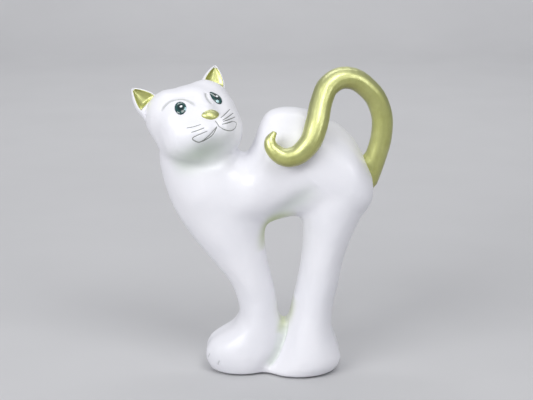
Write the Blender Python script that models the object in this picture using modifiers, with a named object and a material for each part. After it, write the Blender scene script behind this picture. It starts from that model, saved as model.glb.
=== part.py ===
"""Arched-back ceramic cat with a gilded tail, as the separate pieces that are cast, luted or glued together.

Frame: metres, +Z up, origin on the ground below the middle of the figure. The cat stands along X with its
head at -X and its tail at +X, and it turns its face towards -Y. Its own right side is the -X side of the face.
The tables of sections are in millimetres.
"""

import math

import bmesh
import bpy
import numpy as np
from mathutils import Matrix, Vector
from mathutils.bvhtree import BVHTree

MM = 0.001

# Shell and joints
WALL = 6.0
JOINT_GAP = 0.3
SEAT_GAP = 0.45
PAD_THICKNESS = 1.6
SOLE_HEIGHT = PAD_THICKNESS + JOINT_GAP
VENT_RADIUS = 6.0

# Fineness of the cast skin and of the cavity inside it
SKIN_VOXEL = 4.0
SKIN_KEPT = 0.24
CAVITY_VOXEL = 7.0
CAVITY_KEPT = 0.35
RING_POINTS = 32
SPLINE_STEPS = 4
EAR_RING_POINTS = 20
EAR_SPLINE_STEPS = 2

# Each pair of legs is cast as one column. A shallow cleft between its left and right leg
# fades out upwards.
CLEFT_DEPTH = 0.16
CLEFT_WIDTH = 0.25
CLEFT_TOP = 130.0

# Forelegs, chest and neck: (height, front edge x, rear edge x, half depth)
FORE_SECTIONS = (
    (-4, -46, 2, 26),
    (2, -51, 8, 30),
    (9, -56, 15, 33),
    (20, -58, 22, 34.5),
    (31, -53, 24, 33),
    (38, -44, 23, 31.5),
    (46, -31, 20, 30.5),
    (54, -25, 17.5, 29.5),
    (64, -23, 16, 28.5),
    (80, -26.5, 14, 28),
    (98, -35, 9.5, 29),
    (122, -55, 4.5, 31),
    (145, -73, 3, 34),
    (170, -88, 8, 37),
    (195, -97, -4, 38),
    (222, -102, -20, 36),
    (242, -100, -28, 30),
)

# Hind legs and haunch: (height, front edge x, rear edge x, half depth)
HIND_SECTIONS = (
    (-4, 2, 66, 33),
    (2, -2, 73, 38),
    (9, 6, 79, 41),
    (18, 12.5, 80, 41),
    (32, 20, 75, 38.5),
    (44, 24, 71.5, 35.5),
    (56, 27.5, 71, 33),
    (72, 31, 72.5, 31),
    (95, 36, 78, 31),
    (120, 39.5, 83, 33),
    (145, 41, 92, 36.5),
    (170, 39, 103, 40),
    (193, 37, 110, 41),
    (213, 36, 105, 37),
)

# Torso: (x, underside height, back height, half depth)
TORSO_SECTIONS = (
    (-62, 158, 206, 35),
    (-44, 156, 208, 38.5),
    (-28, 154, 210, 39.5),
    (-17, 153, 221, 40),
    (-8, 153, 237, 40.5),
    (-3, 153, 252, 41),
    (5, 154, 266, 42),
    (20, 159, 271.5, 43),
    (38, 162, 270.5, 44),
    (58, 158, 264.5, 44),
    (76, 156, 254, 43),
    (92, 160, 238, 40),
    (104, 168, 215, 32),
    (110, 180, 202, 20),
)

# Head: its centre, and the turn of the face away from -Y
HEAD_CENTRE = (-65, -6, 253.5)
HEAD_YAW = math.radians(27)
HEAD_PITCH = math.radians(18)
HEAD_ROLL = math.radians(11.5)

# Head masses in the head's own axes: centre (across, forward, up) and radii. One that is
# off the middle is mirrored.
HEAD_MASSES = (
    ((0, -1, -2), (42, 39, 44)),
    ((18, -5, 15), (27, 29, 28.5)),
    ((13, 10, -9), (29, 28.5, 30)),
    ((17, 8, 5), (25, 26, 24)),
    ((6, 27, -13), (19, 21, 18)),
    ((0, 19, 3), (18, 24, 22)),
)

# Luting plane between neck and head
NECK_POINT = (-62, 0, 231)
NECK_NORMAL = (0.04, -0.37, 1)
HEAD_REACH = 44

# Ears, in the head's axes
EAR_BASE = (36.5, -11, 38.5)
EAR_LEAN = math.radians(28)
EAR_SECTIONS = ((-10, 12.8, 7.5), (0, 12, 7), (7, 9.4, 5.8), (12, 6.4, 4.4), (16, 3.4, 2.6), (18.5, 1, 1))
EAR_RIM = 1.6
EAR_SCOOP_FORWARD = 5.5
GILDING_THICKNESS = 1.2

# Eyes and nose, in the head's axes: each place is (across, up)
EYE_PLACES = {"right": (-20, 16.9), "left": (17.4, 16.9)}
EYE_RADII = (6.4, 3.0, 7.2)
NOSE_PLACE = (1.2, 0.4)
NOSE_ROLL = math.radians(9)
NOSE_RADII = (8.2, 4.5, 4.8)

# Tail: (x, y, z, radius) from its root in the rump to the tip of the curl
TAIL_POINTS = (
    (85, 2, 160, 8),
    (99.5, 1.5, 184, 10),
    (111.5, 1, 217, 10.8),
    (118.5, 0, 248, 10.6),
    (116, -2, 270, 10.6),
    (103, -7, 291, 10.5),
    (82, -13, 302.5, 11),
    (65, -20, 296.5, 11),
    (58, -27, 284, 10.8),
    (52, -40, 261, 11.3),
    (44, -48, 243, 10.6),
    (26, -51, 232, 9.6),
    (12, -50.5, 238, 7.6),
    (8, -49, 247, 5.8),
    (12.5, -47, 256, 2.2),
)
TAIL_ROUNDNESS = 5
TAIL_STEPS = 4

# Felt pads: (middle x, half length, half width)
FRONT_PAD = (-20, 24, 24)
REAR_PAD = (42, 24, 27)


def make_material(name, colour, roughness, metallic=0.0):
    material = bpy.data.materials.new(name)
    material.use_nodes = True
    shader = material.node_tree.nodes["Principled BSDF"]
    shader.inputs["Base Color"].default_value = (*colour, 1)
    shader.inputs["Roughness"].default_value = roughness
    shader.inputs["Metallic"].default_value = metallic
    material.diffuse_color = (*colour, 1)
    return material


def add_object(name, mesh, collection, material=None):
    obj = bpy.data.objects.new(name, mesh)
    collection.objects.link(obj)
    if material:
        mesh.materials.clear()
        mesh.materials.append(material)
    return obj


def evaluated_copy(obj):
    """The object's mesh with its modifiers applied."""
    bpy.context.view_layer.update()
    graph = bpy.context.evaluated_depsgraph_get()
    return bpy.data.meshes.new_from_object(obj.evaluated_get(graph))


def mesh_of(shape, name):
    """A mesh from a bmesh in millimetres, with its faces turned outwards."""
    bmesh.ops.recalc_face_normals(shape, faces=shape.faces)
    bmesh.ops.scale(shape, vec=(MM, MM, MM), verts=shape.verts)
    mesh = bpy.data.meshes.new(name)
    shape.to_mesh(mesh)
    shape.free()
    return mesh


def spline(stations, steps=SPLINE_STEPS):
    """More stations between the given ones, on a Catmull-Rom spline through them."""
    points = np.array(stations, float)
    before = np.vstack([points[:1], points[:-1]])
    after = np.vstack([points[1:], points[-1:]])
    slopes = (after - before) / 2
    filled = []
    for start, end, start_slope, end_slope in zip(points, points[1:], slopes, slopes[1:]):
        for step in range(steps):
            t = step / steps
            filled.append(
                start * (2 * t**3 - 3 * t**2 + 1)
                + start_slope * (t**3 - 2 * t**2 + t)
                + end * (3 * t**2 - 2 * t**3)
                + end_slope * (t**3 - t**2)
            )
    filled.append(points[-1])
    return filled


def ring_shape(half_width, half_depth, cleft=0.0, points=RING_POINTS):
    """Ring offsets (across, depth). A cleft pulls in the middle of the front and rear edge."""
    turns = np.linspace(0, 2 * math.pi, points, endpoint=False)
    across = np.cos(turns)
    depth = np.sin(turns)
    across *= 1 - cleft * np.exp(-((depth / CLEFT_WIDTH) ** 2))
    across /= abs(across).max()
    return half_width * across, half_depth * depth


def add_loft(shape, rings):
    """A closed tube through rings of 3-D points, with flat ends."""
    loops = [[shape.verts.new(point) for point in ring] for ring in rings]
    for lower, upper in zip(loops, loops[1:]):
        for i in range(len(lower)):
            j = (i + 1) % len(lower)
            shape.faces.new((lower[i], lower[j], upper[j], upper[i]))
    shape.faces.new(loops[0][::-1])
    shape.faces.new(loops[-1])


def add_column(shape, sections, inset):
    """A loft of level sections (height, front x, rear x, half depth)."""
    rings = []
    for height, front, rear, half_depth in spline(sections):
        cleft = CLEFT_DEPTH * max(0, 1 - height / CLEFT_TOP)
        across, depth = ring_shape((rear - front) / 2 - inset, half_depth - inset, cleft)
        middle = (front + rear) / 2
        rings.append([(middle + a, d, height) for a, d in zip(across, depth)])
    add_loft(shape, rings)


def add_barrel(shape, sections, inset):
    """A loft of upright sections (x, underside, back, half depth)."""
    rings = []
    for x, low, high, half_depth in spline(sections):
        across, depth = ring_shape((high - low) / 2 - inset, half_depth - inset)
        middle = (low + high) / 2
        rings.append([(x, d, middle + a) for a, d in zip(across, depth)])
    add_loft(shape, rings)


def head_axes():
    """The matrix from the head's axes (across, backward, up) to the figure's, in millimetres."""
    return (
        Matrix.Translation(HEAD_CENTRE)
        @ Matrix.Rotation(-HEAD_ROLL, 4, "Y")
        @ Matrix.Rotation(HEAD_YAW, 4, "Z")
        @ Matrix.Rotation(-HEAD_PITCH, 4, "X")
    )


def add_ellipsoid(shape, matrix, radii):
    scale = Matrix.Diagonal((*radii, 1))
    bmesh.ops.create_uvsphere(shape, u_segments=32, v_segments=18, radius=1, matrix=matrix @ scale)


def add_head(shape, inset):
    for (across, forward, up), radii in HEAD_MASSES:
        inner = [radius - inset for radius in radii]
        for side in (1, -1) if across else (1,):
            place = Matrix.Translation((side * across, -forward, up))
            add_ellipsoid(shape, head_axes() @ place, inner)


def cat_form(name, inset, voxel, kept, collection):
    """The whole white figure as one smooth closed surface, drawn in by inset from its outside."""
    shape = bmesh.new()
    add_column(shape, FORE_SECTIONS, inset)
    add_column(shape, HIND_SECTIONS, inset)
    add_barrel(shape, TORSO_SECTIONS, inset)
    add_head(shape, inset)
    form = add_object(name, mesh_of(shape, name), collection)
    remesh = form.modifiers.new("Join", "REMESH")
    remesh.mode = "VOXEL"
    remesh.voxel_size = voxel * MM
    smooth = form.modifiers.new("Smooth", "SMOOTH")
    smooth.factor = 0.5
    smooth.iterations = 6
    decimate = form.modifiers.new("Thin out", "DECIMATE")
    decimate.ratio = kept
    applied = evaluated_copy(form)
    form.modifiers.clear()
    form.data = applied
    return form


def box(name, low, high, collection, matrix=Matrix.Identity(4)):
    """A box between two corners in millimetres, then placed by the matrix."""
    shape = bmesh.new()
    size = Vector(high) - Vector(low)
    middle = (Vector(high) + Vector(low)) / 2
    place = matrix @ Matrix.Translation(middle) @ Matrix.Diagonal((*size, 1))
    bmesh.ops.create_cube(shape, size=1, matrix=place)
    return add_object(name, mesh_of(shape, name), collection)


def cut(obj, cutter, operation="DIFFERENCE", solver="EXACT"):
    modifier = obj.modifiers.new(operation.title() + " " + cutter.name, "BOOLEAN")
    modifier.operation = operation
    modifier.object = cutter
    modifier.solver = solver


def seat_on(piece, seat):
    """Cuts away what reaches into the cast body. The exact solver drops the small ears here."""
    cut(piece, seat, solver="MANIFOLD")


def head_space(name, gap, collection):
    """The space over the luting plane that the head takes up, drawn in by gap on every side."""
    turn = Vector((0, 0, 1)).rotation_difference(Vector(NECK_NORMAL)).to_matrix().to_4x4()
    place = Matrix.Translation(NECK_POINT) @ turn
    reach = 100
    low = (gap - reach, gap - reach, gap)
    high = (HEAD_REACH - gap, reach - gap, reach - gap)
    return box(name, low, high, collection, place)


def vent(name, x, collection):
    """A pour hole through the sole of one pair of feet."""
    shape = bmesh.new()
    height = 40
    place = Matrix.Translation((x, 0, 0))
    bmesh.ops.create_cone(
        shape,
        cap_ends=True,
        segments=20,
        radius1=VENT_RADIUS,
        radius2=VENT_RADIUS,
        depth=height,
        matrix=place,
    )
    return add_object(name, mesh_of(shape, name), collection)


def ear_matrix(side):
    """Ear axes: X outwards along its base, Y backwards, Z to its tip."""
    across, forward, up = EAR_BASE
    return (
        head_axes()
        @ Matrix.Translation((side * across, -forward, up))
        @ Matrix.Rotation(side * EAR_LEAN, 4, "Y")
    )


def ear_form(name, side, rim, forward, collection):
    """The ear's tapered petal, narrowed by rim and moved forward."""
    shape = bmesh.new()
    rings = []
    for height, half_width, half_depth in spline(EAR_SECTIONS, EAR_SPLINE_STEPS):
        width = max(half_width - rim, 0.4)
        across, depth = ring_shape(width, half_depth, points=EAR_RING_POINTS)
        level = height - rim if height > 0 else height
        rings.append([(a, d - forward, level) for a, d in zip(across, depth)])
    add_loft(shape, rings)
    shape.transform(ear_matrix(side))
    return add_object(name, mesh_of(shape, name), collection)


def make_ear(label, side, seat, parts, cutters, white, gold):
    ear = ear_form(f"{label}_ear", side, 0, 0, parts)
    ear.data.materials.append(white)
    scoop = ear_form(f"{label}_ear_scoop", side, EAR_RIM, EAR_SCOOP_FORWARD, cutters)
    cut(ear, scoop)
    seat_on(ear, seat)
    lining_rim = EAR_RIM + JOINT_GAP
    lining_forward = EAR_SCOOP_FORWARD + JOINT_GAP
    lining = ear_form(f"{label}_ear_gilding", side, lining_rim, lining_forward, parts)
    lining.data.materials.append(gold)
    hollow_forward = lining_forward + GILDING_THICKNESS
    hollow = ear_form(f"{label}_ear_hollow", side, EAR_RIM, hollow_forward, cutters)
    cut(lining, hollow)
    seat_on(lining, seat)


def face_seat(skin_tree, across, up):
    """Where a line parallel to the gaze meets the face: a matrix with Y into the head and Z upwards."""
    axes = head_axes()
    start = axes @ Vector((across, -90, up))
    direction = (axes.to_3x3() @ Vector((0, 1, 0))).normalized()
    point, normal, _, _ = skin_tree.ray_cast(start * MM, direction)
    inward = -normal
    upward = axes.to_3x3() @ Vector((0, 0, 1))
    sideways = inward.cross(upward).normalized()
    upward = sideways.cross(inward)
    turn = Matrix((sideways, inward, upward)).transposed().to_4x4()
    return Matrix.Translation(point / MM) @ turn


def make_inset_piece(name, matrix, radii, seat, parts, material):
    """A low domed piece that sits on the face."""
    shape = bmesh.new()
    bmesh.ops.create_uvsphere(
        shape, u_segments=16, v_segments=10, radius=1, matrix=matrix @ Matrix.Diagonal((*radii, 1))
    )
    piece = add_object(name, mesh_of(shape, name), parts, material)
    seat_on(piece, seat)


def make_tail(seat, parts, gold):
    """A tapered tube on a smooth curve, cut where it meets the rump and the flank."""
    curve = bpy.data.curves.new("tail_path", "CURVE")
    curve.dimensions = "3D"
    curve.bevel_depth = 1.0
    curve.bevel_resolution = TAIL_ROUNDNESS
    curve.use_fill_caps = True
    curve.resolution_u = TAIL_STEPS
    path = curve.splines.new("BEZIER")
    path.bezier_points.add(len(TAIL_POINTS) - 1)
    for point, (x, y, z, radius) in zip(path.bezier_points, TAIL_POINTS):
        point.co = (x * MM, y * MM, z * MM)
        point.radius = radius * MM
        point.handle_left_type = "AUTO"
        point.handle_right_type = "AUTO"
    guide = bpy.data.objects.new("tail_path", curve)
    parts.objects.link(guide)
    mesh = evaluated_copy(guide)
    bpy.data.objects.remove(guide)
    shape = bmesh.new()
    shape.from_mesh(mesh)
    bmesh.ops.remove_doubles(shape, verts=shape.verts, dist=0.00001)
    shape.to_mesh(mesh)
    shape.free()
    tail = add_object("tail", mesh, parts, gold)
    seat_on(tail, seat)


def make_pad(name, middle, half_length, half_width, parts, felt):
    shape = bmesh.new()
    place = Matrix.Translation((middle, 0, PAD_THICKNESS / 2)) @ Matrix.Diagonal((half_length, half_width, 1, 1))
    bmesh.ops.create_cone(
        shape, cap_ends=True, segments=40, radius1=1, radius2=1, depth=PAD_THICKNESS, matrix=place
    )
    add_object(name, mesh_of(shape, name), parts, felt)


def centre_on_origin(parts, cutters):
    """Moves everything so that the parts' bounding box is centred in X and Y."""
    bpy.context.view_layer.update()
    graph = bpy.context.evaluated_depsgraph_get()
    corners = np.array([corner for obj in parts.objects for corner in obj.evaluated_get(graph).bound_box])
    middle = (corners.min(axis=0) + corners.max(axis=0)) / 2
    for obj in [*parts.objects, *cutters.objects]:
        obj.location = (-middle[0], -middle[1], 0)


def main():
    for obj in list(bpy.data.objects):
        bpy.data.objects.remove(obj)
    parts = bpy.data.collections.new("arched_cat_figurine")
    cutters = bpy.data.collections.new("cutters")
    for collection in (parts, cutters):
        bpy.context.scene.collection.children.link(collection)

    white = make_material("white_glaze", (0.86, 0.85, 0.9), 0.28)
    gold = make_material("gold_lustre", (0.66, 0.6, 0.2), 0.3, 1.0)
    enamel = make_material("eye_enamel", (0.02, 0.07, 0.07), 0.08)
    felt = make_material("green_felt", (0.1, 0.2, 0.12), 0.95)

    skin = cat_form("skin", 0, SKIN_VOXEL, SKIN_KEPT, cutters)
    cavity = cat_form("cavity", WALL, CAVITY_VOXEL, CAVITY_KEPT, cutters)
    cavity_floor = box("cavity_floor", (-200, -200, -100), (200, 200, SOLE_HEIGHT + WALL), cutters)
    cut(cavity, cavity_floor)
    seat = add_object("seat", skin.data.copy(), cutters)
    displace = seat.modifiers.new("Gap", "DISPLACE")
    displace.direction = "NORMAL"
    displace.mid_level = 0
    displace.strength = SEAT_GAP * MM
    skin_tree = BVHTree.FromObject(skin, bpy.context.evaluated_depsgraph_get())

    cut_away = head_space("head_space_outside", -JOINT_GAP / 2, cutters)
    kept_head = head_space("head_space_inside", JOINT_GAP / 2, cutters)
    ground = box("ground", (-200, -200, -100), (200, 200, SOLE_HEIGHT), cutters)
    body = add_object("body_shell", skin.data.copy(), parts, white)
    cut(body, cut_away)
    cut(body, ground)
    cut(body, cavity)
    for name, (middle, _, _) in (("front_vent", FRONT_PAD), ("rear_vent", REAR_PAD)):
        cut(body, vent(name, middle, cutters))
    head = add_object("head_shell", skin.data.copy(), parts, white)
    cut(head, kept_head, "INTERSECT")
    cut(head, cavity)

    for label, side in (("right", -1), ("left", 1)):
        make_ear(label, side, seat, parts, cutters, white, gold)
        eye_place = face_seat(skin_tree, *EYE_PLACES[label])
        make_inset_piece(f"{label}_eye", eye_place, EYE_RADII, seat, parts, enamel)
    nose_place = face_seat(skin_tree, *NOSE_PLACE) @ Matrix.Rotation(NOSE_ROLL, 4, "Y")
    make_inset_piece("nose", nose_place, NOSE_RADII, seat, parts, gold)
    make_tail(seat, parts, gold)
    make_pad("front_foot_felt", *FRONT_PAD, parts, felt)
    make_pad("rear_foot_felt", *REAR_PAD, parts, felt)

    centre_on_origin(parts, cutters)
    for obj in cutters.objects:
        obj.hide_render = True
        obj.display_type = "WIRE"
    for obj in parts.objects:
        obj.data.shade_smooth()


main()
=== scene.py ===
"""Arched-back ceramic cat: the glazed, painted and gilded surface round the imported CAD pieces.

Everything is in the CAD model's frame: metres, +Z up, the face towards -Y. Constants are in millimetres
unless they say otherwise. Places on the face are (across, up) from the point midway between the eyes, seen
along the gaze: across grows towards the cat's own left eye.
"""

import math

import bmesh
import bpy
import numpy as np
from mathutils import Matrix, Vector
from mathutils.bvhtree import BVHTree


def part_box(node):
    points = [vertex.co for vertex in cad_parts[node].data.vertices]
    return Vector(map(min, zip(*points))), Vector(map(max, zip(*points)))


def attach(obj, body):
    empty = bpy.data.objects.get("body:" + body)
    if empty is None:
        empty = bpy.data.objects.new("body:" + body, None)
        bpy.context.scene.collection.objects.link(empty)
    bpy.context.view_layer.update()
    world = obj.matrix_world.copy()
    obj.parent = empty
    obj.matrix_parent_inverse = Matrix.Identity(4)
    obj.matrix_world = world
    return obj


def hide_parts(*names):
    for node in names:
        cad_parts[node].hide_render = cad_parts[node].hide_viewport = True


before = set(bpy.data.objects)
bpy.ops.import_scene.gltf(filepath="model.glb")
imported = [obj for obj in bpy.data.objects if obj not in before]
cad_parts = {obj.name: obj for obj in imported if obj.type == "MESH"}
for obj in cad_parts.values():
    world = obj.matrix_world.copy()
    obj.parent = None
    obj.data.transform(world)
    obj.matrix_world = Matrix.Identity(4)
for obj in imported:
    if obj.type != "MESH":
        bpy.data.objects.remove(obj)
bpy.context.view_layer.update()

MM = 0.001
SIDES = (-1, 1)

# Rays to the skin start this far off, in metres: beside the figure, and in front of the face
SIDE_RAY_START = 0.2
FACE_RAY_START = 0.08

# Cast skin: the size of its squares, and how often it is smoothed before and after they are made finer
SKIN_VOXEL = 1.6
SKIN_ROUNDS = 100
FINE_ROUNDS = 4
# How far the head is repeated down into the neck, and the plugs that close the pour holes
LUTING_OVERLAP = 0.5
VENT_PLUG_RADIUS = 7.5
VENT_PLUG_HEIGHT = 7.0
# How far past its CAD box the head may reach, how far below the luting plane points still count as the
# head's, and how far below it the cut is made
HEAD_MARGIN = 1.0
LUTING_MARGIN = 2.0
NECK_DEPTH = 60.0
# Trunk: the heights between which it is evened more, over how much height that fades, and how often
TRUNK_HEIGHTS = (95, 265)
TRUNK_FADE = 30
TRUNK_ROUNDS = 160
# Where the trunk is made wholly smooth on the near side: (x, z), its reach, and how often
SHOULDER = (-28.0, 208.0)
SHOULDER_REACH = 32.0
SHOULDER_ROUNDS = 150
# Painted shade round the gap between the legs, greener and darker in the glaze: points (x, z) and its reach,
# then the share of its length over which it fades at each end
GAP_SHADE_LINES = (
    (((0.0, 128.0), (1.5, 143.0), (6.0, 156.0), (12.0, 161.5), (22.0, 165.5), (34.0, 167.0)), 5.5),
    (((17.0, 42.0), (21.0, 53.0), (25.5, 63.0), (30.0, 79.0)), 4.0),
)
GAP_SHADE_FADE = 0.4

# Broad strokes of the modelling on the near side: points (x, z), width, depth, under 0 for a ridge, and how
# much shade is painted there, then the share of its length over which a stroke fades at each end
STROKES = (
    (((-82.0, 180.0), (-60.0, 189.0), (-38.0, 200.0), (-16.0, 214.0)), 17.0, -2.4, 0.0),
    (((-90.0, 226.0), (-73.0, 220.5), (-56.0, 218.5), (-41.0, 223.0), (-31.0, 231.0)), 4.5, 1.2, 0.0),
    (((2.0, 162.0), (18.0, 172.0), (38.0, 188.0), (52.0, 203.0)), 10.0, 2.6, 0.5),
)
STROKE_FADE = 0.4

# Every other pressed line: its fade, and how far from the line's middle points are looked at
LINE_FADE = 0.12
PRESS_REACH = 70.0

# Crease where the front foot passes behind the rear foot, on the near and the far side: points (x, z),
# the width of its slope towards the front and the rear foot, its depth, and how much shade is painted in it
FOOT_CREASE = ((27.0, 60.0), (24.5, 51.0), (21.0, 37.5), (14.0, 20.5), (5.0, 7.0))
CREASE_FRONT_WIDTH = 8.0
CREASE_REAR_WIDTH = 1.5
CREASE_DEPTH = 3.0
CREASE_SHADE = 0.6

# Toe grooves at the front paws: points (x, z)
TOE_GROOVES = (
    ((-56.8, 15.0), (-55.6, 18.0), (-54.2, 21.0)),
    ((-46.0, 10.5), (-45.2, 13.5), (-43.8, 16.5)),
)
TOE_WIDTH = 0.8
TOE_DEPTH = 0.7

# Painted and incised lines of the face: points (across, up)
MOUTH_LINES = (
    ((2.8, -22.0), (3.5, -25.0), (4.0, -28.8)),
    ((4.0, -28.8), (9.0, -33.2), (16.0, -35.4), (24.5, -34.0), (28.5, -29.3), (24.0, -27.0)),
    ((2.0, -28.0), (-7.0, -33.3), (-15.0, -37.0), (-19.3, -35.0), (-20.6, -31.0), (-9.0, -29.5)),
    ((1.6, -28.8), (-5.0, -34.6), (-14.0, -37.4)),
)
WHISKER_LINES = (
    ((9.4, -21.1), (18.0, -18.5), (27.6, -14.8)),
    ((9.9, -23.8), (19.0, -22.0), (29.5, -19.2)),
    ((9.9, -25.1), (19.0, -24.6), (29.9, -23.3)),
    ((7.6, -27.5), (15.0, -27.6), (24.0, -27.0)),
    ((-11.5, -21.6), (-17.0, -21.3), (-22.4, -20.3)),
    ((-10.5, -25.7), (-15.5, -26.1), (-20.8, -25.8)),
)
LINE_HALF_WIDTH = 0.62
LINE_RISE = 0.1
LINE_SINK = 0.25
GROOVE_WIDTH = 0.75
GROOVE_DEPTH = 0.35
FINE_REACH = 2.4
COARSE_REACH = 5.0

# Eyelid creases: points (across, up)
LID_LINES = (
    ((-33.0, 3.0), (-29.0, 7.0), (-23.0, 9.8), (-16.5, 10.0), (-11.0, 7.5), (-8.0, 2.5), (-7.0, -2.5)),
    ((12.5, 8.0), (9.6, 3.5), (8.8, -1.0), (9.6, -5.5)),
)
LID_WIDTH = 1.3
LID_DEPTH = 1.2

# Soft hollow of the throat, below the mouth, also painted with shade: its middle, its reach and its depth
THROAT = (-13.0, -49.0)
THROAT_REACH = (29.0, 11.5)
THROAT_DEPTH = 3.2
# How far behind the eyes a swelling or hollow of the face ends, and over what distance it fades
SWELL_END = 38.0
SWELL_FADE = 16.0

# Muzzle pads: middle (across, up), reach and rise
MUZZLE_PADS = ((16.0, -27.0), (-11.0, -30.0))
PAD_REACH = 8.0
PAD_RISE = 1.0

# Eyes: half width, half height, the tilt of the height away from upright in degrees, and how far the
# upper end narrows
EYES = {"right": (4.8, 7.2, -34.0, 0.0), "left": (5.0, 7.6, 12.0, 0.3)}
EYE_RISE = 1.6
# Painted highlights of each eye: (across, up) from its middle, half width, half height, tilt, paint
EYE_LIGHTS = {
    "right": ((0.5, 1.4, 1.35, 0.95, 10.0, "white"), (3.1, -2.2, 0.95, 2.0, -30.0, "blue")),
    "left": ((1.2, 1.0, 1.5, 0.9, 0.0, "white"), (-1.2, -4.0, 1.5, 1.5, 0.0, "blue")),
}
LIGHT_RISE = 0.14
LIGHT_SINK = 0.1

# Domes of the eyes and the nose: how deep their rim is sunk, and the rings and spokes of their mesh
DOME_SINK = 0.5
DOME_RINGS = 14
DOME_SPOKES = 48

# Nose: outline (across, up) from its middle, going round, and its rise
NOSE_OUTLINE = (
    (-8.0, 2.0), (-5.4, 4.2), (-1.2, 5.0), (3.4, 4.6), (7.4, 2.6), (9.6, -0.8), (7.2, -3.5), (2.9, -4.9),
    (-1.5, -4.8), (-5.2, -2.9), (-7.5, -0.5)
)
NOSE_RISE = 2.8

# The side towards which the gold is painted darker and browner as shade; facing away from it, it is painted
# lighter as light
PAINTED_SHADE_SIDE = (0.15, 0.1, -0.98)

# Ears: (height below the tip, half width, half thickness), the lean of each ear away from the middle,
# the rim round the dish, and how the ear flares into the head
EAR_STATIONS = (
    (31, 12.8, 7.5),
    (18.5, 12.0, 7.0),
    (11.5, 9.4, 5.8),
    (6.5, 6.4, 4.4),
    (2.6, 3.4, 2.7),
    (0.7, 1.5, 1.4),
    (0.0, 0.5, 0.6),
)
EAR_LEAN = math.radians(28)
EAR_RIM = 1.8
EAR_DISH = 0.72
DISH_START = 22.5
DISH_CLOSING = 4.5
EAR_FLARE = 3.0
LINING_RISE = 0.12
LINING_THICKNESS = 0.6
# Points round one level of an ear: over its back, round each side of the rim, and across the dish
EAR_BACK_POINTS = 25
EAR_RIM_POINTS = 5
EAR_DISH_POINTS = 21

# Tail: the size of its squares, and how often it is smoothed
TAIL_VOXEL = 1.0
TAIL_ROUNDS = 60
# Its tip is rounded: from which height, over what distance that sets in, and how often
TIP_HEIGHT = 258.0
TIP_FADE = 6.0
TIP_ROUNDS = 12
# It is sunk into the body where it comes near: how often that is smoothed, then the distance and the depth,
# at the root (past ROOT_X) and where it curls on the flank
SEAT_ROUNDS = 10
ROOT_X = 60.0
ROOT_REACH = 4.5
ROOT_SINK = 3.0
CURL_REACH = 1.4
CURL_SINK = 2.2

# Felt pads: how soft the edge is, how far it rises past the sole, the points round it, its unevenness with
# the seed of that, and the pad's profile: (share of the height, inset as a share of the soft edge)
FELT_EDGE = 0.5
FELT_OVERLAP = 0.2
FELT_SPOKES = 96
FELT_WOBBLE = 0.12
FELT_SEED = 7
FELT_PROFILE = ((0.0, 0.5), (0.15, 0.1), (0.5, 0.0), (0.85, 0.0), (1.0, 0.3))

# Camera, in metres, and its lens in millimetres
CAMERA_TARGET = Vector((0.0035, 0.0082, 0.177))
CAMERA_ELEVATION = math.radians(14.5)
CAMERA_DISTANCE = 1.3
CAMERA_LENS = 87.8

# Lights: name, place and size in metres, power in watts, and the point that it faces
LIGHTS = (
    ("key", (0.42, -0.95, 1.45), (0.8, 0.7), 9, CAMERA_TARGET),
    ("left", (-1.05, -1.2, 1.0), (1.1, 0.9), 18, CAMERA_TARGET),
    ("right", (1.25, -0.85, 0.75), (0.3, 0.45), 2.6, CAMERA_TARGET),
    ("backdrop", (0, 0.9, 2.4), (2.5, 0.5), 45, Vector((0, 2.9, 0.8))),
)
ROOM_COLOUR = (0.8, 0.82, 0.88, 1)
ROOM_STRENGTH = 0.38

# Floor, in metres: half its width, its front edge, where it begins to curve up, the radius and the steps of
# that curve, and the backdrop's top
FLOOR_HALF_WIDTH = 4.0
FLOOR_FRONT = -3.0
FLOOR_BEND = 2.2
FLOOR_RADIUS = 0.8
FLOOR_STEPS = 12
FLOOR_TOP = 4.0


# ---------------------------------------------------------------- mesh tools


def points_of(mesh):
    points = np.empty(len(mesh.vertices) * 3)
    mesh.vertices.foreach_get("co", points)
    return points.reshape(-1, 3)


def normals_of(mesh):
    normals = np.empty(len(mesh.vertices) * 3, np.float32)
    mesh.vertex_normals.foreach_get("vector", normals)
    return normals.reshape(-1, 3).astype(float)


def edges_of(mesh):
    edges = np.empty(len(mesh.edges) * 2, np.int32)
    mesh.edges.foreach_get("vertices", edges)
    return edges.reshape(-1, 2)


def set_points(mesh, points):
    mesh.vertices.foreach_set("co", points.astype(np.float32).ravel())
    mesh.update()


def neighbour_mean(values, edges):
    """The mean of each point's neighbours' values."""
    size = len(values)
    first, second = edges[:, 0], edges[:, 1]
    counts = np.bincount(first, minlength=size) + np.bincount(second, minlength=size)
    columns = []
    for column in values.T:
        total = np.bincount(first, weights=column[second], minlength=size)
        total += np.bincount(second, weights=column[first], minlength=size)
        columns.append(total / np.maximum(counts, 1))
    return np.stack(columns, axis=1)


def evened(points, edges, rounds, share=1.0, growth=-0.53):
    """Smooths facets away without shrinking the form (Taubin's method).
    The nearer growth is to -0.5, the wider the waves that it takes out. 0 or more is plain smoothing."""
    for _ in range(rounds):
        for step in (0.5, growth):
            points = points + share * step * (neighbour_mean(points, edges) - points)
    return points


def remeshed(obj, voxel):
    """The object's mesh rebuilt from even squares of about voxel millimetres. The object is removed."""
    modifier = obj.modifiers.new("Even squares", "REMESH")
    modifier.mode = "VOXEL"
    modifier.voxel_size = voxel * MM
    bpy.context.view_layer.update()
    graph = bpy.context.evaluated_depsgraph_get()
    mesh = bpy.data.meshes.new_from_object(obj.evaluated_get(graph))
    bpy.data.objects.remove(obj)
    return mesh


def new_object(name, mesh, material=None):
    obj = bpy.data.objects.new(name, mesh)
    bpy.context.scene.collection.objects.link(obj)
    mesh.shade_smooth()
    if material:
        mesh.materials.clear()
        mesh.materials.append(material)
    return obj


def plain_mesh(shape, name):
    """A mesh from a bmesh, which is freed."""
    mesh = bpy.data.meshes.new(name)
    shape.to_mesh(mesh)
    shape.free()
    return mesh


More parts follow.
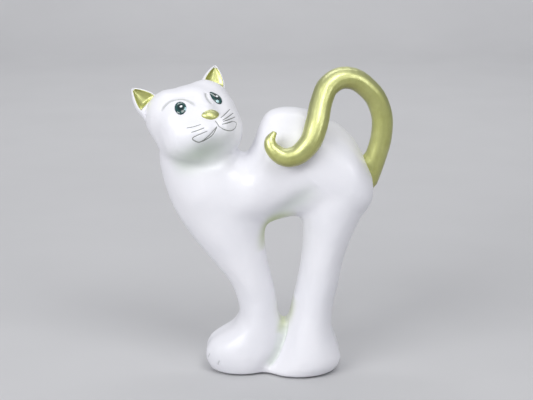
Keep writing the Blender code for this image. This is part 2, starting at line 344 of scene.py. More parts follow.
def mesh_from(shape, name):
    """A mesh from a bmesh, with its faces turned outwards."""
    bmesh.ops.recalc_face_normals(shape, faces=shape.faces)
    return plain_mesh(shape, name)


def store_values(mesh, name, values):
    """Stores one number for each point, for the materials."""
    layer = mesh.attributes.new(name, "FLOAT", "POINT")
    layer.data.foreach_set("value", values.astype(np.float32))


def finish_piece(obj, slot, *nodes):
    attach(obj, "root")
    if nodes:
        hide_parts(*nodes)


def add_rings(shape, rings):
    """Joins rings of points into a tube with closed ends."""
    loops = [[shape.verts.new(point) for point in ring] for ring in rings]
    for lower, upper in zip(loops, loops[1:]):
        for i in range(len(lower)):
            j = (i + 1) % len(lower)
            shape.faces.new((lower[i], lower[j], upper[j], upper[i]))
    shape.faces.new(loops[0][::-1])
    shape.faces.new(loops[-1])


def curve_points(controls, step):
    """Points about step apart on a Catmull-Rom curve through the controls."""
    controls = np.array(controls, float)
    before = np.vstack([2 * controls[0] - controls[1], controls[:-1]])
    after = np.vstack([controls[1:], 2 * controls[-1] - controls[-2]])
    slopes = (after - before) / 2
    found = [controls[:1]]
    for start, end, slope, end_slope in zip(controls, controls[1:], slopes, slopes[1:]):
        count = max(2, int(np.linalg.norm(end - start) / step) + 1)
        t = np.linspace(0, 1, count + 1)[1:, None]
        found.append(
            start * (2 * t**3 - 3 * t**2 + 1)
            + slope * (t**3 - 2 * t**2 + t)
            + end * (3 * t**2 - 2 * t**3)
            + end_slope * (t**3 - t**2)
        )
    return np.vstack(found)


def distance_to_line(points, line):
    """Each point's distance to the nearest point of a finely divided line, and how far along it that is."""
    nearest = np.full(len(points), 1e9)
    along = np.zeros(len(points))
    for i, place in enumerate(line):
        away = np.linalg.norm(points - place, axis=1)
        closer = away < nearest
        nearest[closer] = away[closer]
        along[closer] = i / (len(line) - 1)
    return nearest, along


# ---------------------------------------------------------------- the face's axes


def middle_of(node):
    low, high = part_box(node)
    return (low + high) / 2


def face_axes():
    """(origin, across, up, out) of the face, from its CAD pieces."""
    right_eye, left_eye, nose = middle_of("right_eye"), middle_of("left_eye"), middle_of("nose")
    out = (nose - middle_of("head_shell")).normalized()
    across = left_eye - right_eye
    across = (across - out * across.dot(out)).normalized()
    return (right_eye + left_eye) / 2, across, out.cross(across), out


FACE_ORIGIN, FACE_ACROSS, FACE_UP, FACE_OUT = face_axes()


def face_point(skin_tree, across, up):
    """The point of the skin at this place on the face."""
    start = FACE_ORIGIN + (FACE_ACROSS * across + FACE_UP * up) * MM + FACE_OUT * FACE_RAY_START
    return skin_tree.ray_cast(start, -FACE_OUT)[0]


def face_normal(skin_tree, across, up, reach=0.8):
    """The skin's outward direction there, evened over a small patch."""
    sideways = face_point(skin_tree, across + reach, up) - face_point(skin_tree, across - reach, up)
    upwards = face_point(skin_tree, across, up + reach) - face_point(skin_tree, across, up - reach)
    return sideways.cross(upwards).normalized()


def face_line(skin_tree, controls, step=0.4):
    return np.array([face_point(skin_tree, across, up) for across, up in curve_points(controls, step)])


def tree_of(*meshes):
    shape = bmesh.new()
    for mesh in meshes:
        shape.from_mesh(mesh)
    tree = BVHTree.FromBMesh(shape)
    shape.free()
    return tree


# ---------------------------------------------------------------- cast skin


def luting_plane():
    """(point, normal) of the plane between neck and head: the largest flat of the head shell."""
    areas, places = {}, {}
    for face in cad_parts["head_shell"].data.polygons:
        key = tuple(round(c, 2) for c in face.normal)
        areas[key] = areas.get(key, 0) + face.area
        places[key] = (face.center.copy(), -face.normal)
    return places[max(areas, key=areas.get)]


def add_mesh(shape, mesh, offset=Vector()):
    moved = mesh.copy()
    moved.transform(Matrix.Translation(offset))
    shape.from_mesh(moved)
    bpy.data.meshes.remove(moved)


def outer_surface(mesh):
    """Keeps only what is joined to the topmost point, which drops the surface of the cavity."""
    shape = bmesh.new()
    shape.from_mesh(mesh)
    start = max(shape.verts, key=lambda vert: vert.co.z)
    kept, front = {start}, [start]
    while front:
        vert = front.pop()
        for edge in vert.link_edges:
            other = edge.other_vert(vert)
            if other not in kept:
                kept.add(other)
                front.append(other)
    dropped = [vert for vert in shape.verts if vert not in kept]
    bmesh.ops.delete(shape, geom=dropped, context="VERTS")
    return shape


def add_vent_plugs(shape):
    """Closes the pour holes, so that the cavity comes apart from the outer surface."""
    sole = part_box("body_shell")[0].z
    for pad in ("front_foot_felt", "rear_foot_felt"):
        middle = middle_of(pad)
        bmesh.ops.create_cone(
            shape,
            cap_ends=True,
            segments=24,
            radius1=VENT_PLUG_RADIUS * MM,
            radius2=VENT_PLUG_RADIUS * MM,
            depth=VENT_PLUG_HEIGHT * MM,
            matrix=Matrix.Translation((middle.x, middle.y, sole + VENT_PLUG_HEIGHT / 2 * MM)),
        )


def make_skin():
    """The outer surface of body and head as one fine mesh, with the head's faces marked."""
    plane_point, plane_normal = luting_plane()
    joined = bmesh.new()
    add_mesh(joined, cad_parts["body_shell"].data)
    add_mesh(joined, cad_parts["head_shell"].data)
    add_mesh(joined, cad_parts["head_shell"].data, -plane_normal * LUTING_OVERLAP * MM)
    add_vent_plugs(joined)
    rough = new_object("joined_skin", mesh_from(joined, "joined_skin"))
    mesh = plain_mesh(outer_surface(remeshed(rough, SKIN_VOXEL)), "skin")
    edges = edges_of(mesh)
    points = evened(points_of(mesh), edges, SKIN_ROUNDS)
    low, high = TRUNK_HEIGHTS
    height = points[:, 2] / MM
    share = np.clip(np.minimum(height - low, high - height) / TRUNK_FADE, 0, 1)[:, None]
    share *= ~in_head(points, plane_point, plane_normal)[:, None]
    points = evened(points, edges, TRUNK_ROUNDS, share, growth=-0.512)
    offset = (points[:, (0, 2)] / MM - SHOULDER) / SHOULDER_REACH
    share *= (np.exp(-(offset**2).sum(axis=1)) * (points[:, 1] < 0))[:, None]
    points = evened(points, edges, SHOULDER_ROUNDS, share, growth=0.5)
    set_points(mesh, points)
    store_gap_shade(mesh)
    return refined(mesh, plane_point, plane_normal)


def head_end():
    """The x past which nothing belongs to the head."""
    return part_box("head_shell")[1].x + HEAD_MARGIN * MM


def in_head(points, plane_point, plane_normal):
    """Which points are the head's: above the luting plane and not on the arched back."""
    above = (points - np.array(plane_point)) @ np.array(plane_normal) > -LUTING_MARGIN * MM
    return above & (points[:, 0] < head_end())


def store_gap_shade(mesh):
    """Stores how much shade is painted round the gap between the legs at each point, 0 to 1."""
    flat = points_of(mesh) * (1, 0, 1)
    gap_shade = np.zeros(len(flat))
    for controls, reach in GAP_SHADE_LINES:
        line = np.array([(x * MM, 0, z * MM) for x, z in curve_points(controls, 0.5)])
        distance, along = distance_to_line(flat, line)
        gap_shade = np.maximum(gap_shade, np.exp(-((distance / MM / reach) ** 2)) * fading(along, GAP_SHADE_FADE))
    store_values(mesh, "gap_shade", gap_shade)


def refined(mesh, plane_point, plane_normal):
    """Cuts the skin at the luting plane, marks the head's faces, and makes the squares finer there and
    along the creases and lines."""
    shape = bmesh.new()
    shape.from_mesh(mesh)
    reach = head_end()

    def near_neck(place):
        return place.x < reach and place.z > plane_point.z - NECK_DEPTH * MM

    near = [face for face in shape.faces if near_neck(face.calc_center_median())]
    around = {vert for face in near for vert in face.verts} | {edge for face in near for edge in face.edges}
    bmesh.ops.bisect_plane(
        shape, geom=[*near, *around], dist=0.00001, plane_co=plane_point, plane_no=plane_normal
    )

    def on_head(face):
        middle = face.calc_center_median()
        return middle.x < reach and (middle - plane_point).dot(plane_normal) > 0

    tree = tree_of(mesh)
    creases = [side_line(tree, FOOT_CREASE, side) for side in SIDES]
    lines = [side_line(tree, groove, side) for side in SIDES for groove in TOE_GROOVES]
    lines += [face_line(tree, line) for line in (*MOUTH_LINES, *WHISKER_LINES)]
    head_edges = {edge for face in shape.faces if on_head(face) for edge in face.edges}
    near_edges = edges_near(shape, np.vstack(creases + lines), COARSE_REACH)
    bmesh.ops.subdivide_edges(shape, edges=list(head_edges | near_edges), cuts=1, use_grid_fill=True)
    near_edges = edges_near(shape, np.vstack(lines), FINE_REACH)
    bmesh.ops.subdivide_edges(shape, edges=list(near_edges), cuts=1, use_grid_fill=True)
    head_layer = shape.faces.layers.int.new("head")
    for face in shape.faces:
        face[head_layer] = on_head(face)
    fine = plain_mesh(shape, "fine_skin")
    set_points(fine, evened(points_of(fine), edges_of(fine), FINE_ROUNDS))
    return fine


def edges_near(shape, places, reach):
    edges = list(shape.edges)
    middles = np.array([(edge.verts[0].co + edge.verts[1].co) / 2 for edge in edges])
    near = distance_to_line(middles, places)[0] < reach * MM
    return {edge for edge, is_near in zip(edges, near) if is_near}


def fading(along, share):
    """1 along a line, falling to 0 over a share of it at both ends."""
    return np.clip(np.minimum(along, 1 - along) / share, 0, 1) ** 0.6


def press(points, normals, line, widths, depth, fade=LINE_FADE):
    """Presses a groove along the line, or raises a ridge if depth is under 0, and gives each point's depth.
    The widths are those of its slopes towards low and high x."""
    near = np.linalg.norm(points - line.mean(axis=0), axis=1) < PRESS_REACH * MM
    distance, along = distance_to_line(points[near], line)
    line_x = np.interp(along, np.linspace(0, 1, len(line)), line[:, 0])
    width = np.where(points[near][:, 0] < line_x, widths[0], widths[1]) * MM
    depths = np.zeros(len(points))
    depths[near] = depth * np.exp(-((distance / width) ** 2)) * fading(along, fade)
    points -= normals * depths[:, None] * MM
    return depths


def side_line(tree, controls, side):
    """A line given as (x, z) points, laid on the near (side -1) or the far side (1) of the figure."""
    places = []
    for x, z in curve_points(controls, 0.5):
        place = tree.ray_cast(Vector((x * MM, side * SIDE_RAY_START, z * MM)), Vector((0, -side, 0)))[0]
        if place:
            places.append(place)
    return np.array(places)


def face_swell(points, centre, reach):
    """1 at this place on the face, falling to 0 around it, and 0 on the back of the head."""
    offset = (points - np.array(FACE_ORIGIN)) / MM
    across = (offset @ np.array(FACE_ACROSS) - centre[0]) / reach[0]
    up = (offset @ np.array(FACE_UP) - centre[1]) / reach[1]
    in_front = np.clip((offset @ np.array(FACE_OUT) + SWELL_END) / SWELL_FADE, 0, 1)
    return np.exp(-(across**2) - up**2) * in_front


def carve(skin):
    """Shapes the throat and the muzzle, cuts the creases, eyelids, mouth and whisker grooves, stores painted
    shade.
    """
    tree = tree_of(skin)
    points, normals = points_of(skin), normals_of(skin)
    throat = face_swell(points, THROAT, THROAT_REACH)
    points -= normals * (THROAT_DEPTH * MM * throat)[:, None]
    for centre in MUZZLE_PADS:
        points += normals * (PAD_RISE * MM * face_swell(points, centre, (PAD_REACH, PAD_REACH)))[:, None]
    # Painted shade: the glaze is painted greener and darker under the chin, along the flank and beside the
    # foot crease
    shade = throat
    for controls, width, depth, shade_share in STROKES:
        pressed = press(points, normals, side_line(tree, controls, -1), (width, width), depth, STROKE_FADE)
        shade = np.maximum(shade, shade_share * pressed / depth)
    grooves = np.zeros(len(points))
    for side in SIDES:
        widths = (CREASE_FRONT_WIDTH, CREASE_REAR_WIDTH)
        pressed = press(points, normals, side_line(tree, FOOT_CREASE, side), widths, CREASE_DEPTH)
        shade = np.maximum(shade, CREASE_SHADE * (pressed / CREASE_DEPTH) ** 1.5)
        for groove in TOE_GROOVES:
            widths = (TOE_WIDTH, TOE_WIDTH)
            grooves += press(points, normals, side_line(tree, groove, side), widths, TOE_DEPTH)
    for controls in LID_LINES:
        grooves += press(points, normals, face_line(tree, controls), (LID_WIDTH, LID_WIDTH), LID_DEPTH)
    for controls in (*MOUTH_LINES, *WHISKER_LINES):
        widths = (GROOVE_WIDTH, GROOVE_WIDTH)
        grooves += press(points, normals, face_line(tree, controls), widths, GROOVE_DEPTH)
    set_points(skin, points)
    store_values(skin, "groove", np.clip(grooves, 0, 1))
    store_values(skin, "shade", np.clip(shade, 0, 1))


def part_of(skin, name, head, material):
    """The head's faces of the skin, or the others, shaded as one surface across the cut."""
    normals = normals_of(skin)
    shape = bmesh.new()
    shape.from_mesh(skin)
    shape.verts.ensure_lookup_table()
    index = shape.verts.layers.int.new("index")
    for vert in shape.verts:
        vert[index] = vert.index
    layer = shape.faces.layers.int["head"]
    bmesh.ops.delete(shape, geom=[face for face in shape.faces if bool(face[layer]) != head], context="FACES")
    kept = [vert[index] for vert in shape.verts]
    shape.verts.layers.int.remove(index)
    mesh = plain_mesh(shape, name)
    obj = new_object(name, mesh, material)
    mesh.normals_split_custom_set_from_vertices(normals[kept])
    return obj


# ---------------------------------------------------------------- painted lines, eyes and nose


def add_stroke(shape, skin_tree, controls):
    """One painted line: a low ridge of enamel that thins towards both ends."""
    flat = curve_points(controls, 0.5)
    places = [face_point(skin_tree, across, up) for across, up in flat]
    rings = []
    for i, (place, (across, up)) in enumerate(zip(places, flat)):
        normal = face_normal(skin_tree, across, up)
        along = places[min(i + 1, len(places) - 1)] - places[max(i - 1, 0)]
        sideways = along.cross(normal).normalized()
        share = i / (len(places) - 1)
        width = LINE_HALF_WIDTH * (0.35 + 0.65 * fading(np.array(share), 0.3)) * MM
        top, base = normal * LINE_RISE * MM, normal * LINE_SINK * MM
        rings.append(
            [
                place + sideways * width - base,
                place + sideways * width,
                place + sideways * width * 0.6 + top * 0.8,
                place + top,
                place - sideways * width * 0.6 + top * 0.8,
                place - sideways * width,
                place - sideways * width - base,
            ]
        )
    add_rings(shape, rings)


def make_strokes(name, skin_tree, lines, material):
    shape = bmesh.new()
    for controls in lines:
        add_stroke(shape, skin_tree, controls)
    finish_piece(new_object(name, mesh_from(shape, name), material), "eye_enamel")


def ellipse(half_width, half_height, tilt, narrowing=0.0):
    """Points round a tilted ellipse whose upper end narrows by the share given."""
    cos, sin = math.cos(math.radians(tilt)), math.sin(math.radians(tilt))
    points = []
    for i in range(DOME_SPOKES):
        turn = 2 * math.pi * i / DOME_SPOKES
        width = half_width * (1 - narrowing * max(0.0, math.sin(turn)))
        a, b = width * math.cos(turn), half_height * math.sin(turn)
        points.append((a * cos - b * sin, a * sin + b * cos))
    return points


def closed_outline(controls):
    """DOME_SPOKES points at even steps round a smooth closed curve."""
    count = len(controls)
    wrapped = [controls[i % count] for i in range(-2, count + 3)]
    fine = curve_points(wrapped, 0.1)
    steps = np.linalg.norm(np.diff(fine, axis=0), axis=1)
    lengths = np.concatenate([[0], np.cumsum(steps)])
    at_start = [i for i, point in enumerate(fine) if np.linalg.norm(point - np.array(controls[0])) < 0.06]
    spots = np.linspace(lengths[at_start[0]], lengths[at_start[-1]], DOME_SPOKES + 1)[:-1]
    return [(np.interp(at, lengths, fine[:, 0]), np.interp(at, lengths, fine[:, 1])) for at in spots]


def add_dome(shape, tree, centre, outline, rise, sink=DOME_SINK):
    """A domed patch that follows the surface under it, inside an outline of offsets from the centre.
    Its "zone" attribute runs from 0 in the middle to 1 at the rim."""
    zone = shape.verts.layers.float.get("zone") or shape.verts.layers.float.new("zone")

    def add_ring(share, height):
        ring = []
        for a, b in outline:
            across, up = centre[0] + share * a, centre[1] + share * b
            place = face_point(tree, across, up) + face_normal(tree, across, up) * height * MM
            ring.append(shape.verts.new(place))
            ring[-1][zone] = share
        return ring

    loops = []
    for i in range(1, DOME_RINGS + 1):
        share = math.sin(math.pi / 2 * i / DOME_RINGS)
        loops.append(add_ring(share, rise * (1 - share**2) ** 0.5))
    loops.append(add_ring(1.0, -sink))
    for inner, outer in zip(loops, loops[1:]):
        for i in range(len(outline)):
            j = (i + 1) % len(outline)
            shape.faces.new((inner[i], outer[i], outer[j], inner[j]))
    top = shape.verts.new(face_point(tree, *centre) + face_normal(tree, *centre) * rise * MM)
    for i in range(len(outline)):
        shape.faces.new((top, loops[0][i], loops[0][(i + 1) % len(outline)]))
    shape.faces.new(loops[-1])


def face_place(node):
    """(across, up) of a CAD piece on the face."""
    offset = (middle_of(node) - FACE_ORIGIN) / MM
    return offset.dot(FACE_ACROSS), offset.dot(FACE_UP)


def make_eye(side, skin, skin_tree, enamel, light_paints):
    """The domed eye and its painted highlights."""
    centre = face_place(f"{side}_eye")
    shape = bmesh.new()
    add_dome(shape, skin_tree, centre, ellipse(*EYES[side]), EYE_RISE)
    name = f"{side}_eye_enamel"
    eye = new_object(name, mesh_from(shape, name), enamel)
    finish_piece(eye, "eye_enamel", f"{side}_eye")
    eye_tree = tree_of(skin, eye.data)
    for across, up, half_width, half_height, tilt, paint in EYE_LIGHTS[side]:
        shape = bmesh.new()
        outline = ellipse(half_width, half_height, tilt)
        add_dome(shape, eye_tree, (centre[0] + across, centre[1] + up), outline, LIGHT_RISE, LIGHT_SINK)
        name = f"{side}_eye_{paint}_light"
        finish_piece(new_object(name, mesh_from(shape, name), light_paints[paint]), "eye_enamel")


def make_nose(skin_tree, gold):
    shape = bmesh.new()
    add_dome(shape, skin_tree, face_place("nose"), closed_outline(NOSE_OUTLINE), NOSE_RISE)
    finish_piece(new_object("gilded_nose", mesh_from(shape, "gilded_nose"), gold), "gold_lustre", "nose")


# ---------------------------------------------------------------- ears


def ear_axes(side, sign):
    """(tip, across, facing, up) of an ear, from its CAD piece. Across points away from the middle."""
    centre = middle_of("head_shell")
    points = [vert.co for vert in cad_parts[f"{side}_ear"].data.vertices]
    tip = max(points, key=lambda point: (point - centre).length)
    up = FACE_UP * math.cos(EAR_LEAN) + FACE_ACROSS * sign * math.sin(EAR_LEAN)
    across = FACE_ACROSS * math.cos(EAR_LEAN) * sign - FACE_UP * math.sin(EAR_LEAN)
    return tip, across, FACE_OUT, up


def dish_share(drop):
    """How deep the dish is at this height below the tip: 1, falling to 0 where it runs out into the head."""
    share = min(max((DISH_START - drop) / DISH_CLOSING, 0.0), 1.0)
    return share * share * (3 - 2 * share)


def ear_ring(half_width, half_depth, drop):
    """One level of an ear: its (across, facing) points, how far each flares, and the dish's points."""
    rim = min(EAR_RIM, 0.45 * half_width)
    crest = 0.5 * half_depth
    ring, flares = [], []
    for turn in np.linspace(0, math.pi, EAR_BACK_POINTS):
        ring.append((half_width * math.cos(turn), -half_depth * math.sin(turn)))
        flares.append(1.0)
    for turn in np.linspace(0, math.pi / 2, EAR_RIM_POINTS)[1:]:
        ring.append((-half_width + rim / 2 * (1 - math.cos(turn)), crest * math.sin(turn)))
        flares.append(math.cos(turn) ** 2)
    dish = []
    for share in np.linspace(-1, 1, EAR_DISH_POINTS):
        depth = dish_share(drop) * EAR_DISH * half_depth * (1 - abs(share) ** 2.4)
        dish.append((share * (half_width - rim), crest * 0.93 - depth))
    ring += dish
    flares += [0.0] * len(dish)
    for turn in np.linspace(math.pi / 2, 0, EAR_RIM_POINTS)[:-1]:
        ring.append((half_width - rim / 2 * (1 - math.cos(turn)), crest * math.sin(turn)))
        flares.append(math.cos(turn) ** 2)
    return ring, flares, dish


def flared(place, outward, flare, skin_tree):
    """Moves a point of the ear's outside sideways near the skin, so that the ear curves into the head."""
    nearest, normal, _, _ = skin_tree.find_nearest(place)
    height = (place - nearest).dot(normal)
    reach = EAR_FLARE * MM
    if height > reach or not flare:
        return place
    fall = min(reach, reach - max(height, 0))
    push = reach - math.sqrt(reach**2 - fall**2)
    sideways = (outward - normal * outward.dot(normal)).normalized()
    moved = place + sideways * push * flare
    if height < 0.1 * MM:
        nearest, normal, _, _ = skin_tree.find_nearest(moved)
        moved = nearest - normal * max(0.2 * MM, -height)
    return moved


def make_ear(side, sign, skin_tree, white, gold):
    tip, across, facing, up = ear_axes(side, sign)
    rings, lining = [], []
    for drop, half_width, half_depth in curve_points(EAR_STATIONS, 1.0):
        level = tip - up * drop * MM
        ring, flares, dish = ear_ring(half_width, half_depth, drop)
        placed = []
        for (a, f), flare in zip(ring, flares):
            place = level + (across * a + facing * f) * MM
            outward = across * a / half_width + facing * f / half_depth
            placed.append(flared(place, outward, flare, skin_tree))
        rings.append(placed)
        if half_width > 1.5 * EAR_RIM and dish_share(drop) > 0.1:
            front = [level + (across * a * 0.99 + facing * (f + LINING_RISE)) * MM for a, f in dish]
            back = [place - facing * LINING_THICKNESS * MM for place in front]
            lining.append(front + back[::-1])
    shape = bmesh.new()
    add_rings(shape, rings)
    name = f"{side}_ear_shell"
    finish_piece(new_object(name, mesh_from(shape, name), white), "white_glaze", f"{side}_ear")
    shape = bmesh.new()
    add_rings(shape, lining)
    name = f"{side}_ear_lustre"
    finish_piece(new_object(name, mesh_from(shape, name), gold), "gold_lustre", f"{side}_ear_gilding")


# ---------------------------------------------------------------- tail and felt


def make_tail(skin_tree, gold):
    """The tail's fine surface with a rounded tip, sunk a little into the body where it is luted on."""
    rough = new_object("rough_tail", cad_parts["tail"].data.copy())
    mesh = remeshed(rough, TAIL_VOXEL)
    edges = edges_of(mesh)
    points = evened(points_of(mesh), edges, TAIL_ROUNDS)
    at_tip = np.clip((points[:, 2] / MM - TIP_HEIGHT) / TIP_FADE, 0, 1) * (points[:, 0] < 0)
    points = evened(points, edges, TIP_ROUNDS, at_tip[:, None], growth=0)
    sinks = np.zeros(points.shape)
    for i, point in enumerate(points):
        reach, sink = (ROOT_REACH, ROOT_SINK) if point[0] > ROOT_X * MM else (CURL_REACH, CURL_SINK)
        _, normal, _, distance = skin_tree.find_nearest(Vector(point))
        if distance < reach * MM:
            share = 1 - (distance / (reach * MM)) ** 2
            sinks[i] = np.array(normal) * sink * share * MM
    set_points(mesh, points - evened(sinks, edges, SEAT_ROUNDS))
    finish_piece(new_object("gilded_tail", mesh, gold), "gold_lustre", "tail")


def make_felt(node, felt):
    """A felt pad with a soft, slightly uneven edge that fills the space up to the sole."""
    low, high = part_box(node)
    middle, half = (low + high) / 2, (high - low) / 2
    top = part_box("body_shell")[0].z - low.z + FELT_OVERLAP * MM
    wobble = np.random.default_rng(FELT_SEED).normal(0, FELT_WOBBLE, FELT_SPOKES)
    wobble = (wobble + np.roll(wobble, 1) + np.roll(wobble, -1)) / 2
    rings = []
    for height, inset in FELT_PROFILE:
        ring = []
        for i in range(FELT_SPOKES):
            turn = 2 * math.pi * i / FELT_SPOKES
            reach = 1 - (inset * FELT_EDGE + abs(wobble[i])) * MM / half.x
            x = middle.x + half.x * reach * math.cos(turn)
            y = middle.y + half.y * reach * math.sin(turn)
            ring.append(Vector((x, y, low.z + height * top)))
        rings.append(ring)
    shape = bmesh.new()
    add_rings(shape, rings)
    name = node.replace("_felt", "_pad")
    finish_piece(new_object(name, mesh_from(shape, name), felt), "green_felt", node)


# ---------------------------------------------------------------- materials


class Nodes:
    """Adds shader nodes to one material, on the object's own coordinates in metres."""

    def __init__(self, name, **sockets):
        self.material = bpy.data.materials.new(name)
        self.material.use_nodes = True
        self.tree = self.material.node_tree
        self.shader = self.tree.nodes["Principled BSDF"]
        self.place = self.tree.nodes.new("ShaderNodeTexCoord").outputs["Object"]
        for socket, value in sockets.items():
            self.shader.inputs[socket.replace("_", " ")].default_value = value

    def add(self, kind, inputs, **settings):
        made = self.tree.nodes.new(kind)
        for key, value in settings.items():
            setattr(made, key, value)
        for key, value in inputs.items():
            if isinstance(value, bpy.types.NodeSocket):
                self.tree.links.new(value, made.inputs[key])
            else:
                made.inputs[key].default_value = value
        return made

    def noise(self, scale, detail=3.0, roughness=0.5, place=None):
        inputs = {"Vector": place or self.place, "Scale": scale, "Detail": detail, "Roughness": roughness}
        return self.add("ShaderNodeTexNoise", inputs).outputs["Fac"]

    def stretched(self, scale):
        inputs = {"Vector": self.place, "Scale": scale}
        return self.add("ShaderNodeMapping", inputs).outputs["Vector"]

    def spread(self, value, low, high, start=0.0, end=1.0):
        inputs = {"Value": value, "From Min": low, "From Max": high, "To Min": start, "To Max": end}
        return self.add("ShaderNodeMapRange", inputs).outputs["Result"]

    def attribute(self, name):
        return self.add("ShaderNodeAttribute", {}, attribute_name=name).outputs["Fac"]

    def facing(self, direction):
        """How far the surface faces in a direction of the model, -1 to 1."""
        inputs = {0: self.add("ShaderNodeNewGeometry", {}).outputs["Normal"], 1: direction}
        return self.add("ShaderNodeVectorMath", inputs, operation="DOT_PRODUCT").outputs["Value"]

    def ramp(self, value, stops):
        made = self.add("ShaderNodeValToRGB", {"Fac": value})
        elements = made.color_ramp.elements
        while len(elements) < len(stops):
            elements.new(0.5)
        for element, (position, colour) in zip(elements, stops):
            element.position = position
            element.color = (*colour, 1)
        return made.outputs["Color"]

    def mix(self, share, first, second):
        made = self.add("ShaderNodeMix", {}, data_type="RGBA")
        for key, value in (("Factor", share), ("A", first), ("B", second)):
            socket = next(s for s in made.inputs if s.name == key and s.enabled)
            if isinstance(value, bpy.types.NodeSocket):
                self.tree.links.new(value, socket)
            else:
                socket.default_value = (*value, 1)
        return next(s for s in made.outputs if s.name == "Result" and s.enabled)

    def set(self, socket, value):
        self.tree.links.new(value, self.shader.inputs[socket])

    def bump(self, height, strength, distance):
        inputs = {"Height": height, "Strength": strength, "Distance": distance * MM}
        self.set("Normal", self.add("ShaderNodeBump", inputs).outputs["Normal"])


def white_glaze():
    """Pearly white glaze; shade painted greener and greyer between the legs, under the chin, on the flank and
    in creases.
    """
    nodes = Nodes("white_glaze", Coat_Weight=0.25, Coat_Roughness=0.18, IOR=1.5)
    cloud = nodes.noise(18, 4, 0.55)
    body = nodes.mix(nodes.spread(cloud, 0.35, 0.65), (0.8, 0.8, 0.845), (0.845, 0.84, 0.88))
    # Painted shade round the gap between the legs: greener and darker
    gap_shaded = nodes.mix(nodes.spread(nodes.attribute("gap_shade"), 0.0, 1.0, 0.0, 0.8), body, (0.48, 0.56, 0.22))
    # Painted shade under the chin, along the flank and beside the foot crease: greener and greyer
    shaded = nodes.mix(nodes.spread(nodes.attribute("shade"), 0.0, 1.0, 0.0, 0.8), gap_shaded, (0.52, 0.6, 0.5))
    # Darker in all grooves: grey paint under the mouth and whisker lines, and painted shade in the eyelid
    # creases and toe grooves
    groove_paint_and_shade = nodes.spread(nodes.attribute("groove"), 0.05, 0.9, 0.0, 0.6)
    nodes.set("Base Color", nodes.mix(groove_paint_and_shade, shaded, (0.36, 0.38, 0.36)))
    speckle = nodes.noise(260, 2, 0.5)
    nodes.set("Roughness", nodes.spread(speckle, 0.3, 0.7, 0.36, 0.46))
    nodes.bump(nodes.noise(90, 2, 0.4), 0.03, 0.4)
    return nodes.material


def gold_lustre():
    """Brushed gold lustre: a greenish gold film, painted brown below and behind as shade and lighter above,
    with fine streaks.
    """
    nodes = Nodes("gold_lustre", Metallic=0.95, Coat_Weight=0.8, Coat_Roughness=0.28, Coat_IOR=1.65)
    cloud = nodes.noise(45, 4, 0.6)
    streak = nodes.noise(240, 3, 0.6, nodes.stretched((1.0, 0.35, 0.25)))
    film = nodes.mix(nodes.spread(cloud, 0.35, 0.65), (0.54, 0.56, 0.17), (0.63, 0.65, 0.23))
    shade_facing = nodes.facing(PAINTED_SHADE_SIDE)
    # Painted light: lighter where the gold faces away from the shaded side
    film = nodes.mix(nodes.spread(shade_facing, 0.0, -0.9, 0.0, 0.55), film, (0.75, 0.78, 0.43))
    # Painted shade: dark brown where the gold faces the shaded side
    film = nodes.mix(nodes.spread(shade_facing, 0.0, 0.9, 0.0, 0.9), film, (0.22, 0.2, 0.045))
    nodes.set("Base Color", nodes.mix(nodes.spread(streak, 0.45, 0.8, 0.0, 0.3), film, (0.4, 0.39, 0.08)))
    nodes.set("Roughness", nodes.spread(streak, 0.3, 0.75, 0.4, 0.48))
    nodes.bump(streak, 0.03, 0.3)
    return nodes.material


def eye_enamel():
    """Dark teal enamel: a black pupil, a teal iris with fine rays and a darker rim."""
    nodes = Nodes("eye_enamel", Coat_Weight=1.0, Coat_Roughness=0.04, Roughness=0.2)
    zone = nodes.attribute("zone")
    stops = (
        (0.0, (0.003, 0.014, 0.016)),
        (0.45, (0.004, 0.018, 0.02)),
        (0.6, (0.008, 0.06, 0.055)),
        (0.85, (0.012, 0.065, 0.065)),
        (0.97, (0.008, 0.03, 0.034)),
    )
    ring = nodes.ramp(zone, stops)
    grain = nodes.noise(900, 2, 0.6)
    nodes.set("Base Color", nodes.mix(nodes.spread(grain, 0.4, 0.8, 0.0, 0.3), ring, (0.015, 0.1, 0.085)))
    return nodes.material


def light_paint(name, colour, shade):
    """Enamel of a painted highlight, a little uneven."""
    nodes = Nodes(name, Coat_Weight=0.6, Coat_Roughness=0.1, Roughness=0.3)
    nodes.set("Base Color", nodes.mix(nodes.spread(nodes.noise(700), 0.35, 0.65), colour, shade))
    return nodes.material


def line_paint():
    """Grey-brown underglaze of the whiskers and the mouth, denser in some places."""
    nodes = Nodes("line_paint", Coat_Weight=0.4, Coat_Roughness=0.15, Roughness=0.35)
    dense = nodes.spread(nodes.noise(500, 3, 0.6), 0.35, 0.65)
    nodes.set("Base Color", nodes.mix(dense, (0.11, 0.12, 0.11), (0.22, 0.24, 0.22)))
    return nodes.material


def green_felt():
    nodes = Nodes("green_felt", Roughness=0.95, Sheen_Weight=0.5, Sheen_Roughness=0.5)
    fibre = nodes.noise(2600, 4, 0.7)
    cloud = nodes.noise(300, 3, 0.5)
    base = nodes.mix(nodes.spread(cloud, 0.35, 0.65), (0.035, 0.085, 0.045), (0.07, 0.14, 0.08))
    nodes.set("Base Color", nodes.mix(nodes.spread(fibre, 0.5, 0.75, 0.0, 0.6), base, (0.14, 0.22, 0.14)))
    nodes.bump(fibre, 0.6, 0.3)
    return nodes.material


def floor_paint():
    nodes = Nodes("floor_paint", Roughness=0.6)
    nodes.set("Base Color", nodes.mix(nodes.noise(6, 2), (0.54, 0.54, 0.55), (0.58, 0.58, 0.59)))
    return nodes.material


# ---------------------------------------------------------------- stage


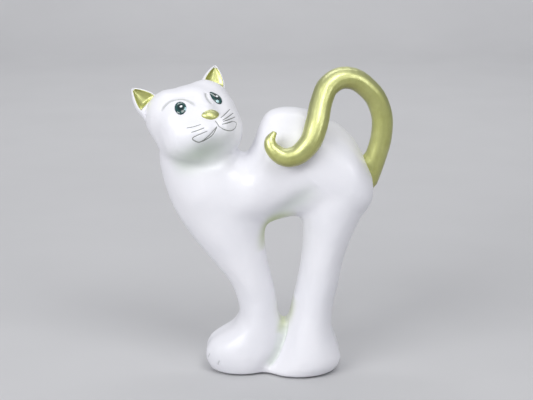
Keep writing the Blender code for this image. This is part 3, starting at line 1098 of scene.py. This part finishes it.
def make_floor(material):
    """A pale floor that curves up into a backdrop well behind the figure."""
    shape = bmesh.new()
    profile = [(FLOOR_FRONT, 0.0), (FLOOR_BEND, 0.0)]
    for i in range(1, FLOOR_STEPS + 1):
        turn = math.pi / 2 * i / FLOOR_STEPS
        back = FLOOR_BEND + FLOOR_RADIUS * math.sin(turn)
        profile.append((back, FLOOR_RADIUS - FLOOR_RADIUS * math.cos(turn)))
    profile.append((FLOOR_BEND + FLOOR_RADIUS, FLOOR_TOP))
    ends = (-FLOOR_HALF_WIDTH, FLOOR_HALF_WIDTH)
    rows = [[shape.verts.new((x, y, z)) for x in ends] for y, z in profile]
    for lower, upper in zip(rows, rows[1:]):
        shape.faces.new((lower[0], lower[1], upper[1], upper[0]))
    mesh = plain_mesh(shape, "floor")
    new_object("floor", mesh, material)


def add_light(name, place, size, power, target):
    light = bpy.data.lights.new(name, "AREA")
    light.shape = "RECTANGLE"
    light.size, light.size_y = size
    light.energy = power
    obj = bpy.data.objects.new(name, light)
    bpy.context.scene.collection.objects.link(obj)
    obj.location = place
    obj.rotation_euler = (target - Vector(place)).to_track_quat("-Z", "Y").to_euler()


def make_camera():
    camera = bpy.data.cameras.new("camera")
    camera.sensor_width = 36
    camera.lens = CAMERA_LENS
    obj = bpy.data.objects.new("camera", camera)
    bpy.context.scene.collection.objects.link(obj)
    back = Vector((0, -math.cos(CAMERA_ELEVATION), math.sin(CAMERA_ELEVATION)))
    obj.location = CAMERA_TARGET + back * CAMERA_DISTANCE
    obj.rotation_euler = (-back).to_track_quat("-Z", "Y").to_euler()
    bpy.context.scene.camera = obj


def make_lights():
    """Soft lights on the figure, one on the backdrop, and a pale room around."""
    for light in LIGHTS:
        add_light(*light)
    world = bpy.data.worlds.new("studio")
    world.use_nodes = True
    background = world.node_tree.nodes["Background"]
    background.inputs["Color"].default_value = ROOM_COLOUR
    background.inputs["Strength"].default_value = ROOM_STRENGTH
    bpy.context.scene.world = world
    # The plain transform keeps white glaze as white as a camera shows it.
    bpy.context.scene.view_settings.view_transform = "Standard"


# ---------------------------------------------------------------- build


def main():
    white, gold, enamel, paint = white_glaze(), gold_lustre(), eye_enamel(), line_paint()
    light_paints = {
        "white": light_paint("white_enamel", (0.9, 0.92, 0.93), (0.8, 0.84, 0.87)),
        "blue": light_paint("pale_blue_enamel", (0.42, 0.68, 0.72), (0.55, 0.78, 0.8)),
    }
    skin = make_skin()
    carve(skin)
    skin_tree = tree_of(skin)
    finish_piece(part_of(skin, "glazed_body", False, white), "white_glaze", "body_shell")
    finish_piece(part_of(skin, "glazed_head", True, white), "white_glaze", "head_shell")
    for side, sign in (("right", -1), ("left", 1)):
        make_ear(side, sign, skin_tree, white, gold)
        make_eye(side, skin, skin_tree, enamel, light_paints)
    make_nose(skin_tree, gold)
    make_strokes("mouth_line", skin_tree, MOUTH_LINES, paint)
    make_strokes("whisker_lines", skin_tree, WHISKER_LINES, paint)
    make_tail(skin_tree, gold)
    felt = green_felt()
    make_felt("front_foot_felt", felt)
    make_felt("rear_foot_felt", felt)

    make_floor(floor_paint())
    make_lights()
    make_camera()


main()
